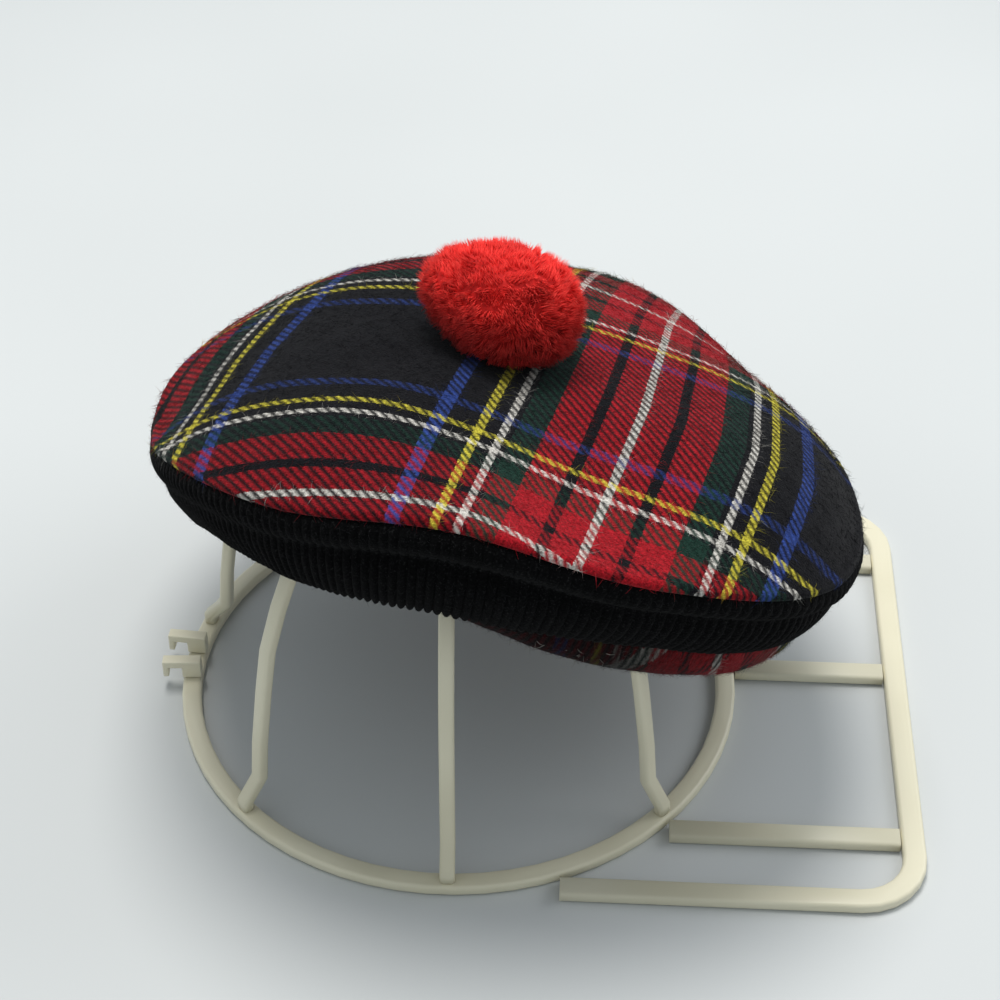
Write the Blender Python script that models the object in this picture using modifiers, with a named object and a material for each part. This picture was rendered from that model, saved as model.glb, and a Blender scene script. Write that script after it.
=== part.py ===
"""Tartan tam o' shanter with a ribbed edge band and a pompom, draped over a plain plastic cap stand."""

from collections import namedtuple
from math import cos, hypot, pi, radians, sin, sqrt

import bmesh
import bpy
from mathutils import Euler, Vector

MM = 0.001

# The hat: driving sizes. BRIM_OVERHANG is how far its brim reaches beyond the stand that it is drawn over.
BRIM_OVERHANG = 22 * MM
DOME_HEIGHT = 28 * MM
CLOTH = 2 * MM
EDGE_ROLL = 2.2 * MM
SEAM_LIP = 0.8 * MM
BAND_DEPTH = 32 * MM
BAND_WALL = 3.6 * MM
BAND_ROLL = 2.4 * MM
RIB_COUNT = 180
RIB_RISE = 0.45 * MM
POMPOM_LENGTH = 55 * MM
POMPOM_WIDTH = 44 * MM
POMPOM_HEIGHT = 40 * MM
POMPOM_LOCKS = 90
LOCK_RISE = 2.2 * MM
POMPOM_SEAT = 0.8
UNDERSIDE_INSET = 0.4
CLEARANCE = 0.4 * MM

# How the hat sits: the middle of its brim over the middle of the stand, the height of the crown over the
# stand's hub, because a tilted crown rests on the shoulders of the ribs, and its tilt.
HAT_OFFSET = (-2 * MM, 7 * MM)
CROWN_LIFT = 1.6 * MM
TILT_BACK = radians(15.3)
TILT_SIDE = radians(6.4)
POMPOM_OFFSET = (11 * MM, 2.2 * MM)
POMPOM_SHIFT = (1 * MM, -3.4 * MM, -0.8 * MM)  # from its place on a level crown, over POMPOM_OFFSET
POMPOM_TURN = radians(-33)
POMPOM_LEAN = (radians(-4), radians(5))

# The stand: driving sizes.
STAND_RADIUS = 91 * MM
STAND_HEIGHT = 130.6 * MM
STRIP_WIDTH = 6.5 * MM
RIB_WIDTH = 4.8 * MM
STRIP_THICKNESS = 4 * MM
HUB_RADIUS = 11 * MM
PEAK_LENGTH = 58 * MM
PEAK_CORNER = 18 * MM
PEAK_TURN = radians(-3)
BAR_WIDTH = 7.5 * MM
HOOK_LENGTH = 6.5 * MM
HOOK_HEIGHT = 7 * MM
HOOK_ARM = 0.4
HOOK_TIP = 0.3
HOOK_WIDTH = 4 * MM
HOOK_TURN = radians(176.5)
HOOK_SPACING = radians(7.5)
RIB_ANGLES = {
    "rear": radians(163),
    "rear_near": radians(222),
    "side_near": radians(268.5),
    "front_near": radians(316.5),
    "front_far": radians(26),
    "side_far": radians(66),
    "rear_far": radians(109),
}
# Where the three bars inside the peak run, as shares of STAND_RADIUS.
BAR_PLACES = {"near": -0.72, "middle": 0.1, "far": 0.72}

BRIM_RADIUS = STAND_RADIUS + BRIM_OVERHANG

# One section every 30 degrees round the hat, from +X towards +Y. reach is a share of BRIM_RADIUS; rise
# and swell are shares of DOME_HEIGHT; drape is how late the crown falls; tuck, sag, hem_in and hem_down
# are shares of BAND_DEPTH. sag is how far below its own two edges the underside is pulled.
Section = namedtuple("Section", "reach rise drape swell tuck sag hem_in hem_down")
SECTIONS = (
    Section(1.145, -0.26, 6.0, -0.28, 0.13, 0.42, 0.53, 0.33),
    Section(1.13, -0.16, 4.4, -0.13, 0.13, 0.40, 0.41, 0.18),
    Section(1.13, 0.46, 3.3, 0.02, 0.13, 0.32, 0.47, 0.30),
    Section(1.07, 0.26, 2.8, 0.24, 0.10, 0.30, 0.46, 0.30),
    Section(0.995, 0.02, 2.5, 0.19, 0.10, 0.30, 0.32, 0.30),
    Section(0.90, -0.31, 2.4, 0.10, 0.10, 0.20, 0.00, 0.20),
    Section(0.82, -0.40, 2.4, 0.16, 0.58, 0.06, 0.04, 0.05),
    Section(0.843, 0.02, 2.4, 0.10, 0.66, 0.08, 0.12, 0.06),
    Section(0.872, 0.26, 2.5, 0.11, 0.52, 0.10, 0.25, 0.06),
    Section(0.907, 0.46, 3.0, -0.13, 0.31, 0.10, 0.30, 0.10),
    Section(1.046, 0.01, 4.0, -0.37, 0.57, 0.18, 0.29, 0.27),
    Section(1.188, -0.385, 5.4, -0.30, 0.54, 0.30, 0.56, 0.26),
)

# Cross-section of the band: share of its depth below the seam, and how far it stands out, as a share of
# BAND_ROLL on the outside and of BAND_WALL on the inside. ribbed is how much of a rib each row carries.
BandRow = namedtuple("BandRow", "down out inside ribbed")
BAND_ROWS = (
    BandRow(0.03, -0.30, 0.0, 0.3),
    BandRow(0.17, 0.95, 0.0, 1.0),
    BandRow(0.37, -0.20, 0.0, 0.6),
    BandRow(0.68, 0.75, 0.0, 1.0),
    BandRow(1.00, -0.25, 0.0, 1.0),
    BandRow(0.52, 0.0, 1.0, 0.0),
)

# Outline of a stand rib from above its foot to the hub: shares of STAND_RADIUS and STAND_HEIGHT.
RIB_OUTLINE = (
    (1.0, 0.055),
    (0.93, 0.11),
    (0.915, 0.22),
    (0.88, 0.38),
    (0.848, 0.50),
    (0.79, 0.61),
    (0.735, 0.69),
    (0.665, 0.755),
    (0.57, 0.825),
    (0.46, 0.885),
    (0.29, 0.945),
)

CROWN_COLUMNS = 48
CROWN_SHARES = (0.1, 0.2, 0.32, 0.44, 0.56, 0.67, 0.77, 0.86, 0.94, 1.0)
UNDERSIDE_COLUMNS = 48
UNDERSIDE_STEPS = 6
RING_STEPS = 64
HUB_SIDES = 24
CORNER_STEPS = 6
# share squared times (1 - share) peaks at one over this.
HUMP = 27 / 4


def clear_scene():
    for found in list(bpy.data.objects):
        bpy.data.objects.remove(found, do_unlink=True)


def make_collection(name, hidden=False):
    made = bpy.data.collections.new(name)
    made.hide_render = hidden
    bpy.context.scene.collection.children.link(made)
    return made


def make_material(name, colour, roughness):
    made = bpy.data.materials.new(name)
    made.use_nodes = True
    shader = made.node_tree.nodes["Principled BSDF"]
    shader.inputs["Base Color"].default_value = (*colour, 1)
    shader.inputs["Roughness"].default_value = roughness
    shader.inputs["Metallic"].default_value = 0
    return made


def add_object(name, data, material, parent, collection):
    made = bpy.data.objects.new(name, data)
    if material:
        data.materials.append(material)
    made.parent = parent
    collection.objects.link(made)
    return made


def smooth_mesh(name, work):
    data = bpy.data.meshes.new(name)
    work.to_mesh(data)
    work.free()
    data.shade_smooth()
    return data


def around(column, angle):
    """One column of SECTIONS at any angle, as a smooth curve through its rows."""
    count = len(SECTIONS)
    place = (angle / (2 * pi)) % 1 * count
    row = int(place) % count
    part = place - int(place)
    before, start, end, after = (getattr(SECTIONS[(row + step) % count], column) for step in (-1, 0, 1, 2))
    bend = 2 * before - 5 * start + 4 * end - after
    turn = 3 * (start - end) + after - before
    return start + 0.5 * part * (end - before + part * (bend + part * turn))


def on_section(angle, reach, height):
    return Vector((reach * cos(angle), reach * sin(angle), height))


def seam(angle):
    """Reach and height of the seam between crown and band."""
    return BRIM_RADIUS * around("reach", angle), DOME_HEIGHT * around("rise", angle)


def band_frame(angle):
    """The seam, and the band's directions down its face and out of it, as (reach, height) pairs."""
    tuck = around("tuck", angle)
    drop = sqrt(1 - tuck**2)
    return Vector(seam(angle)), Vector((-tuck, -drop)), Vector((drop, -tuck))


def crown_point(angle, share):
    """A point of the crown's outer face, from the pompom at share 0 to the edge roll at share 1."""
    reach, rise = seam(angle)
    edge = rise + SEAM_LIP + EDGE_ROLL
    centre = Vector((*POMPOM_OFFSET, 0))
    flat = centre * (1 - share) + on_section(angle, reach - EDGE_ROLL, 0) * share
    fall = (edge - DOME_HEIGHT) * share ** around("drape", angle)
    swell = DOME_HEIGHT * around("swell", angle) * HUMP * share**2 * (1 - share)
    flat.z = DOME_HEIGHT + fall + swell
    return flat


def rolled_edge(angle, turn):
    """The crown's edge, which turns down through a quarter circle to a short upright lip."""
    reach, rise = seam(angle)
    out = reach - EDGE_ROLL * (1 - sin(turn))
    return on_section(angle, out, rise + SEAM_LIP + EDGE_ROLL * cos(turn))


def sheet(rows, pole=None):
    """An open surface through rings of points, closed at its middle by a pole where there is one."""
    work = bmesh.new()
    rings = [[work.verts.new(point) for point in row] for row in rows]
    count = len(rings[0])
    if pole is not None:
        middle = work.verts.new(pole)
        for j in range(count):
            work.faces.new((middle, rings[0][j], rings[0][(j + 1) % count]))
    for inner, outer in zip(rings, rings[1:]):
        for j in range(count):
            k = (j + 1) % count
            work.faces.new((inner[j], outer[j], outer[k], inner[k]))
    return work


def thicken(made):
    wall = made.modifiers.new("cloth", "SOLIDIFY")
    wall.thickness = CLOTH
    wall.offset = -1
    wall.use_even_offset = False


def make_crown(hat, collection, material):
    angles = [2 * pi * j / CROWN_COLUMNS for j in range(CROWN_COLUMNS)]
    rows = [[crown_point(angle, share) for angle in angles] for share in CROWN_SHARES]
    rows += [[rolled_edge(angle, turn) for angle in angles] for turn in (pi / 4, pi / 2)]
    rows.append([on_section(angle, *seam(angle)) for angle in angles])
    work = sheet(rows, pole=crown_point(0, 0))
    thicken(add_object("crown", smooth_mesh("crown", work), material, hat, collection))


def make_band(hat, collection, material):
    """The knitted edge: an upper roll, a crease and a lower roll, with ribs running across it."""
    work = bmesh.new()
    columns = 2 * RIB_COUNT
    loops = []
    for j in range(columns):
        angle = 2 * pi * j / columns
        start, down, out = band_frame(angle)
        rib = RIB_RISE if j % 2 else -RIB_RISE
        loop = []
        for row in BAND_ROWS:
            stand_out = row.out * BAND_ROLL - row.inside * BAND_WALL + row.ribbed * rib
            point = start + down * (row.down * BAND_DEPTH) + out * stand_out
            loop.append(work.verts.new(on_section(angle, *point)))
        loops.append(loop)
    count = len(BAND_ROWS)
    for j, loop in enumerate(loops):
        following = loops[(j + 1) % columns]
        for i in range(count):
            k = (i + 1) % count
            work.faces.new((loop[i], loop[k], following[k], following[i]))
    add_object("band", smooth_mesh("band", work), material, hat, collection)


def underside_point(angle, share):
    """The tartan underside, from below the band at share 0 to the raw edge of the head opening at 1."""
    start, down, _ = band_frame(angle)
    low = start + down * BAND_DEPTH
    top = low + Vector((-BAND_ROLL / 2, -RIB_RISE - 2 * CLEARANCE))
    hem = low - Vector((around("hem_in", angle), around("hem_down", angle))) * BAND_DEPTH
    across = top.x * (1 - UNDERSIDE_INSET) + hem.x * UNDERSIDE_INSET
    pull = Vector((across, min(top.y, hem.y) - around("sag", angle) * BAND_DEPTH))
    point = top * (1 - share) ** 2 + pull * 2 * share * (1 - share) + hem * share**2
    return on_section(angle, *point)


def make_underside(hat, collection, material):
    angles = [2 * pi * j / UNDERSIDE_COLUMNS for j in range(UNDERSIDE_COLUMNS)]
    shares = [i / UNDERSIDE_STEPS for i in range(UNDERSIDE_STEPS + 1)]
    work = sheet([[underside_point(angle, share) for angle in angles] for share in shares])
    thicken(add_object("underside", smooth_mesh("underside", work), material, hat, collection))


def lock_centres():
    """Even directions over a ball, along one spiral."""
    step = pi * (3 - sqrt(5))
    for i in range(POMPOM_LOCKS):
        height = 1 - 2 * (i + 0.5) / POMPOM_LOCKS
        ring = sqrt(1 - height**2)
        yield Vector((ring * cos(i * step), ring * sin(i * step), height))


def make_pompom(hat, collection, material):
    """Cut yarn gathered in locks round a core that sits flat on the crown."""
    work = bmesh.new()
    bmesh.ops.create_icosphere(work, subdivisions=4, radius=1)
    centres = list(lock_centres())
    half = Vector((POMPOM_LENGTH, POMPOM_WIDTH, POMPOM_HEIGHT)) / 2 - Vector((LOCK_RISE,) * 3)
    spread = 2 / sqrt(POMPOM_LOCKS)
    seat = POMPOM_SEAT * half.z
    for vertex in work.verts:
        towards = vertex.co.normalized()
        nearest = min((towards - centre).length for centre in centres)
        lock = LOCK_RISE * max(0, 1 - (nearest / spread) ** 2)
        vertex.co = Vector([towards[i] * (half[i] + lock) for i in range(3)])
        vertex.co.z = max(vertex.co.z, -seat)
    made = add_object("pompom", smooth_mesh("pompom", work), material, hat, collection)
    lean = sin(hypot(*POMPOM_LEAN)) * half.x * sqrt(1 - POMPOM_SEAT**2)
    level = Vector((*POMPOM_OFFSET, DOME_HEIGHT + CLEARANCE + lean + seat))
    made.location = level + Vector(POMPOM_SHIFT)
    made.rotation_euler = (*POMPOM_LEAN, POMPOM_TURN)


def make_profile(name, width, thickness, collection):
    """The rectangular section that a strip of the stand follows."""
    data = bpy.data.curves.new(name, "CURVE")
    data.dimensions = "2D"
    data.fill_mode = "NONE"
    line = data.splines.new("POLY")
    line.points.add(3)
    corners = ((-1, -1), (-1, 1), (1, 1), (1, -1))
    for point, (across, up) in zip(line.points, corners):
        point.co = (across * width / 2, up * thickness / 2, 0, 1)
    line.use_cyclic_u = True
    made = add_object(name, data, None, None, collection)
    made.display_type = "WIRE"
    made.hide_render = True
    return made


def make_strip(name, points, closed, profile, material, parent, collection):
    """A flat strip along a path in its own XY plane."""
    data = bpy.data.curves.new(name, "CURVE")
    data.dimensions = "2D"
    data.fill_mode = "NONE"
    data.bevel_mode = "OBJECT"
    data.bevel_object = profile
    data.use_fill_caps = not closed
    line = data.splines.new("POLY")
    line.points.add(len(points) - 1)
    for point, (x, y) in zip(line.points, points):
        point.co = (x, y, 0, 1)
    line.use_cyclic_u = closed
    return add_object(name, data, material, parent, collection)


def make_ring(stand, collection, profile, material):
    angles = [2 * pi * j / RING_STEPS for j in range(RING_STEPS)]
    points = [(STAND_RADIUS * cos(angle), STAND_RADIUS * sin(angle)) for angle in angles]
    ring = make_strip("stand_ring", points, True, profile, material, stand, collection)
    ring.location.z = STRIP_THICKNESS / 2


def make_ribs(stand, collection, profile, material):
    points = [(STAND_RADIUS, STRIP_THICKNESS + CLEARANCE)]
    points += [(across * STAND_RADIUS, up * STAND_HEIGHT) for across, up in RIB_OUTLINE]
    end = HUB_RADIUS + CLEARANCE
    middle = STAND_HEIGHT - STRIP_THICKNESS / 2
    points += [(end + STRIP_THICKNESS / 2, middle), (end, middle)]
    for name, angle in RIB_ANGLES.items():
        rib = make_strip("stand_rib_" + name, points, False, profile, material, stand, collection)
        rib.rotation_euler = Euler((pi / 2, 0, angle))


def make_hub(stand, collection, material):
    work = bmesh.new()
    bmesh.ops.create_cone(
        work,
        cap_ends=True,
        segments=HUB_SIDES,
        radius1=HUB_RADIUS,
        radius2=HUB_RADIUS,
        depth=STRIP_THICKNESS,
    )
    data = bpy.data.meshes.new("stand_hub")
    work.to_mesh(data)
    work.free()
    hub = add_object("stand_hub", data, material, stand, collection)
    hub.location.z = STAND_HEIGHT - STRIP_THICKNESS / 2


def peak_outline():
    """The flat frame in front of the ring: two side bars joined by a front bar with round corners."""
    side = STAND_RADIUS
    front = STAND_RADIUS + PEAK_LENGTH
    start = (STRIP_WIDTH + BAR_WIDTH) / 2 + CLEARANCE
    begin = sqrt((STAND_RADIUS + start) ** 2 - side**2)
    corner = [pi / 2 * (step / CORNER_STEPS - 1) for step in range(CORNER_STEPS + 1)]
    near = [(begin, -side)]
    for angle in corner:
        near.append((front - PEAK_CORNER * (1 - cos(angle)), -side + PEAK_CORNER * (1 + sin(angle))))
    return near + [(x, -y) for x, y in reversed(near)]


def make_peak(stand, collection, profile, material):
    frame = make_strip("peak_frame", peak_outline(), False, profile, material, stand, collection)
    front = STAND_RADIUS + PEAK_LENGTH - BAR_WIDTH / 2 - CLEARANCE
    outside = STAND_RADIUS + STRIP_WIDTH / 2 + CLEARANCE
    made = [frame]
    for name, share in BAR_PLACES.items():
        across = share * STAND_RADIUS
        nearest = max(abs(across) - BAR_WIDTH / 2, 0)
        start = sqrt(outside**2 - nearest**2)
        points = [(start, across), (front, across)]
        made.append(make_strip("peak_bar_" + name, points, False, profile, material, stand, collection))
    for bar in made:
        bar.rotation_euler.z = PEAK_TURN
        bar.location.z = STRIP_THICKNESS / 2


def make_hooks(stand, collection, material):
    """Two open hooks on top of the ring, which the other half of such a stand would clip to."""
    base = STRIP_THICKNESS + CLEARANCE
    inner = -STRIP_WIDTH / 2
    root = STRIP_WIDTH / 2
    tip = root + HOOK_LENGTH
    top = base + HOOK_HEIGHT
    arm = top - HOOK_HEIGHT * HOOK_ARM
    inside = tip - HOOK_LENGTH * HOOK_TIP
    corners = (
        (inner, base),
        (root, base),
        (root, arm),
        (inside, arm),
        (inside, base + CLEARANCE),
        (tip, base + CLEARANCE),
        (tip, top),
        (inner, top),
    )
    for name, side in (("near", 0.5), ("far", -0.5)):
        data = bpy.data.curves.new("latch_hook_" + name, "CURVE")
        data.dimensions = "2D"
        data.fill_mode = "BOTH"
        data.extrude = HOOK_WIDTH / 2
        line = data.splines.new("POLY")
        line.points.add(len(corners) - 1)
        for point, (out, up) in zip(line.points, corners):
            point.co = (out, up, 0, 1)
        line.use_cyclic_u = True
        hook = add_object("latch_hook_" + name, data, material, stand, collection)
        angle = HOOK_TURN + side * HOOK_SPACING
        hook.location = (STAND_RADIUS * cos(angle), STAND_RADIUS * sin(angle), 0)
        hook.rotation_euler = Euler((pi / 2, 0, angle))


def stand_on_origin(root, collection):
    """Moves the whole piece so that the middle of its underside is the world origin."""
    bpy.context.view_layer.update()
    graph = bpy.context.evaluated_depsgraph_get()
    corners = []
    for found in collection.objects:
        if found.type == "EMPTY":
            continue
        shaped = found.evaluated_get(graph)
        data = shaped.to_mesh()
        corners += [shaped.matrix_world @ vertex.co for vertex in data.vertices]
        shaped.to_mesh_clear()
    low = [min(corner[axis] for corner in corners) for axis in range(3)]
    high = [max(corner[axis] for corner in corners) for axis in range(3)]
    root.location = (-(low[0] + high[0]) / 2, -(low[1] + high[1]) / 2, -low[2])
    bpy.context.view_layer.update()


def main():
    clear_scene()
    parts = make_collection("tam_o_shanter")
    guides = make_collection("guides", hidden=True)
    tartan = make_material("tartan_wool", (0.05, 0.03, 0.03), 0.9)
    knit = make_material("black_knit", (0.012, 0.012, 0.014), 0.9)
    yarn = make_material("red_yarn", (0.75, 0.04, 0.02), 0.85)
    plastic = make_material("ivory_plastic", (0.78, 0.77, 0.66), 0.35)

    root = add_object("tam_on_stand", None, None, None, parts)
    hat = add_object("hat", None, None, root, parts)
    hat.location = (*HAT_OFFSET, STAND_HEIGHT + CROWN_LIFT + CLOTH - DOME_HEIGHT)
    hat.rotation_euler = (-TILT_BACK, TILT_SIDE, 0)
    stand = add_object("stand", None, None, root, parts)

    make_crown(hat, parts, tartan)
    make_band(hat, parts, knit)
    make_underside(hat, parts, tartan)
    make_pompom(hat, parts, yarn)

    strip = make_profile("strip_profile", STRIP_WIDTH, STRIP_THICKNESS, guides)
    upright = make_profile("rib_profile", STRIP_THICKNESS, RIB_WIDTH, guides)
    bar = make_profile("bar_profile", BAR_WIDTH, STRIP_THICKNESS, guides)
    make_ring(stand, parts, strip, plastic)
    make_ribs(stand, parts, upright, plastic)
    make_hub(stand, parts, plastic)
    make_peak(stand, parts, bar, plastic)
    make_hooks(stand, parts, plastic)
    stand_on_origin(root, parts)


main()
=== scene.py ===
import math
import random

import bmesh
import bpy
import numpy as np
from mathutils import Euler, Matrix, Vector, noise


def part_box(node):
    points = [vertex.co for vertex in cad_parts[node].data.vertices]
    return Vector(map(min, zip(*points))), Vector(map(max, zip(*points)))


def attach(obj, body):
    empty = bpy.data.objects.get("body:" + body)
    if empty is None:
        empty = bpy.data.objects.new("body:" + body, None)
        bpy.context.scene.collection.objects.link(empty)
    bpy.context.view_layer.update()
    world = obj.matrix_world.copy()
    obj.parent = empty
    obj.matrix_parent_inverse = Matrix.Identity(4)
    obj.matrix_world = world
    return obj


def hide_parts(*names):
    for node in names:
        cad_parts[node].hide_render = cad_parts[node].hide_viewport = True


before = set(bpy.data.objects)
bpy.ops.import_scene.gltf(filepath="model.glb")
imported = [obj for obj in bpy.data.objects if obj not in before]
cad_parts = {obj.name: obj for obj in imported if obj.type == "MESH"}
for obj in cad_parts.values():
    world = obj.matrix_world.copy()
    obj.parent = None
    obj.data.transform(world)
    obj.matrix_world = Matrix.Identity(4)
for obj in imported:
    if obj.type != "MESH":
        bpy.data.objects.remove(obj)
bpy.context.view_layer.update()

mm = 0.001

# where things are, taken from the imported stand
ringLow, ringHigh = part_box("stand_ring")
ringMiddle = Vector(((ringLow.x + ringHigh.x) / 2, (ringLow.y + ringHigh.y) / 2, 0))

hat = {
    "brimRadius": 113 * mm,
    "domeHeight": 28 * mm,
    "edgeRoll": 2.2 * mm,
    "seamLip": 0.8 * mm,
    "bandDepth": 32 * mm,
    "bandRoll": 2.4 * mm,
    "pomPlace": Vector((11 * mm, 2.2 * mm, 0)),
    "middle": Vector((-2 * mm, 7 * mm, 106.2 * mm)),
    "tilt": (math.radians(-15.3), math.radians(6.4), 0),
}
hatPlace = Matrix.Translation(ringMiddle + hat["middle"]) @ Euler(hat["tilt"]).to_matrix().to_4x4()

# One row every 30 degrees round the hat: reach, rise, drape, swell, tuck, sag, hemIn, hemDown
columnNames = ("reach", "rise", "drape", "swell", "tuck", "sag", "hemIn", "hemDown")
hatRows = (
    (1.145, -0.26, 6.0, -0.28, 0.13, 0.42, 0.53, 0.33),
    (1.13, -0.16, 4.4, -0.13, 0.13, 0.40, 0.41, 0.18),
    (1.13, 0.46, 3.3, 0.02, 0.13, 0.32, 0.47, 0.30),
    (1.07, 0.26, 2.8, 0.24, 0.10, 0.30, 0.46, 0.30),
    (0.995, 0.02, 2.5, 0.19, 0.10, 0.30, 0.32, 0.30),
    (0.90, -0.31, 2.4, 0.10, 0.10, 0.20, 0.00, 0.20),
    (0.82, -0.40, 2.4, 0.16, 0.58, 0.06, 0.04, 0.05),
    (0.843, 0.02, 2.4, 0.10, 0.66, 0.08, 0.12, 0.06),
    (0.872, 0.26, 2.5, 0.11, 0.52, 0.10, 0.25, 0.06),
    (0.907, 0.46, 3.0, -0.13, 0.31, 0.10, 0.30, 0.10),
    (1.046, 0.01, 4.0, -0.37, 0.57, 0.18, 0.29, 0.27),
    (1.188, -0.385, 5.4, -0.30, 0.54, 0.30, 0.56, 0.26),
)


# smooth value of one column at any angle
def around(name, angle):
    i = columnNames.index(name)
    place = (angle / (2 * math.pi)) % 1 * len(hatRows)
    row = int(place) % len(hatRows)
    t = place - int(place)
    a, b, c, d = (hatRows[(row + k) % len(hatRows)][i] for k in (-1, 0, 1, 2))
    return b + 0.5 * t * (c - a + t * (2 * a - 5 * b + 4 * c - d + t * (3 * (b - c) + d - a)))


def polar(angle, reach, height):
    return Vector((reach * math.cos(angle), reach * math.sin(angle), height))


def seamAt(angle):
    return hat["brimRadius"] * around("reach", angle), hat["domeHeight"] * around("rise", angle)


def bandFrame(angle):
    tuck = around("tuck", angle)
    drop = math.sqrt(1 - tuck**2)
    return Vector(seamAt(angle)), Vector((-tuck, -drop)), Vector((drop, -tuck))


def crownPoint(angle, share):
    reach, rise = seamAt(angle)
    edge = rise + hat["seamLip"] + hat["edgeRoll"]
    p = hat["pomPlace"] * (1 - share) + polar(angle, reach - hat["edgeRoll"], 0) * share
    p.z = hat["domeHeight"] + (edge - hat["domeHeight"]) * share ** around("drape", angle)
    # 6.75 makes the swell full at two thirds of the way out
    p.z += hat["domeHeight"] * around("swell", angle) * 6.75 * share**2 * (1 - share)
    return p


def newPiece(name, bm, material, smooth=True):
    mesh = bpy.data.meshes.new(name)
    bm.to_mesh(mesh)
    bm.free()
    if smooth:
        mesh.shade_smooth()
    obj = bpy.data.objects.new(name, mesh)
    bpy.context.scene.collection.objects.link(obj)
    mesh.materials.append(material)
    return obj


# a grid bent into a closed ring by place(angle, share)
def wrapGrid(columns, rows, place):
    bm = bmesh.new()
    bmesh.ops.create_grid(bm, x_segments=columns, y_segments=rows, size=0.5)
    for v in bm.verts:
        v.co = hatPlace @ place((v.co.x + 0.5) * 2 * math.pi, v.co.y + 0.5)
    bmesh.ops.remove_doubles(bm, verts=bm.verts, dist=1e-6)
    return bm


# materials
def nodeOf(tree, kind, **values):
    n = tree.nodes.new(kind)
    for key, value in values.items():
        setattr(n, key, value)
    return n


def mathNode(tree, operation, a, b=None):
    n = nodeOf(tree, "ShaderNodeMath", operation=operation)
    for i, value in enumerate((a, b)):
        if value is None:
            continue
        if isinstance(value, (int, float)):
            n.inputs[i].default_value = value
        else:
            tree.links.new(value, n.inputs[i])
    return n.outputs[0]


def mixColour(tree, blend, factor, a, b):
    n = nodeOf(tree, "ShaderNodeMix", data_type="RGBA", blend_type=blend)
    for socket, value in ((n.inputs[0], factor), (n.inputs[6], a), (n.inputs[7], b)):
        if isinstance(value, (int, float)):
            socket.default_value = value
        elif isinstance(value, tuple):
            socket.default_value = (*value, 1)
        else:
            tree.links.new(value, socket)
    return n.outputs[2]


def noiseNode(tree, vector, scale, detail=3, roughness=0.6):
    n = nodeOf(tree, "ShaderNodeTexNoise")
    n.inputs["Scale"].default_value = scale
    n.inputs["Detail"].default_value = detail
    n.inputs["Roughness"].default_value = roughness
    tree.links.new(vector, n.inputs["Vector"])
    return n


def rampNode(tree, factor, stops, interpolation="LINEAR"):
    n = nodeOf(tree, "ShaderNodeValToRGB")
    n.color_ramp.interpolation = interpolation
    points = n.color_ramp.elements
    while len(points) < len(stops):
        points.new(0.5)
    for point, (place, colour) in zip(points, stops):
        point.position = place
        point.color = (*colour, 1)
    tree.links.new(factor, n.inputs[0])
    return n.outputs[0]


def bumpNode(tree, height, strength, distance):
    n = nodeOf(tree, "ShaderNodeBump")
    n.inputs["Strength"].default_value = strength
    n.inputs["Distance"].default_value = distance
    tree.links.new(height, n.inputs["Height"])
    return n.outputs[0]


def startMaterial(name):
    m = bpy.data.materials.new(name)
    m.use_nodes = True
    return m, m.node_tree, m.node_tree.nodes["Principled BSDF"]


tartan = {
    "half": 87.4,  # mm from the white pivot to the black one
    "thread": 0.85,  # mm from one thread to the next
    "drift": 1.4 * mm,  # how far the brushed nap shifts the colours
    "twill": 4,  # threads to one diagonal
    "ridges": 0.25,  # raised lines to one diagonal
    "waveBands": 1.6,  # bands that a diagonal wave texture of scale 1 makes in a metre
    "raised": 0.25,  # height of those lines, against the fluff
    "white": (0.50, 0.48, 0.44),
    "red": (0.31, 0.007, 0.013),
    "black": (0.0030, 0.0030, 0.0045),
    "green": (0.006, 0.026, 0.018),
    "yellow": (0.47, 0.41, 0.040),
    "blue": (0.022, 0.048, 0.21),
    "sett": (
        (0, "white"), (1.2, "red"), (9.6, "black"), (13.0, "red"), (23.9, "green"), (32.4, "black"),
        (34.0, "white"), (36.4, "black"), (40.5, "yellow"), (43.2, "black"), (51.6, "blue"), (56.2, "black"),
    ),
    "uShare": 0.52,  # how much of the surface the threads of the u stripes cover
    "uSwing": 0.45,  # how far the twill diagonals carry that share up and down
    # painted shade: the v threads lie deeper, so the darker colours are painted darker still in them
    "paintedShade": {"white": 1, "yellow": 0.9, "red": 0.8, "blue": 0.5, "green": 0.8, "black": 1},
}


# the two striped thread colours, and where each thread set lies, from the cloth map in metres
def setColours(tree, uv, dim):
    parts = nodeOf(tree, "ShaderNodeSeparateXYZ")
    tree.links.new(uv, parts.inputs[0])
    thread = tartan["thread"]
    colours, counts = [], []
    for axis in (0, 1):
        stops = []
        for place, colour in tartan["sett"]:
            # in the v threads the colours take the painted shade of lying deeper
            shade = dim * (tartan["paintedShade"][colour] if axis else 1)
            stops.append((place / tartan["half"], tuple(c * shade for c in tartan[colour])))
        count = mathNode(tree, "MULTIPLY", parts.outputs[axis], 1000 / thread)
        counts.append(count)
        folded = mathNode(tree, "PINGPONG", count, tartan["half"] / thread)
        share = mathNode(tree, "MULTIPLY", folded, thread / tartan["half"])
        colours.append(rampNode(tree, share, stops, "CONSTANT"))
    return colours, counts


# painted shade: the underside clears from nearly black to dark red between these places along x, from the
# ring's middle
belowShade = {"from": 48 * mm, "to": 88 * mm, "left": 0.12, "span": 0.2}


# multiplies a colour by that painted shade
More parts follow.
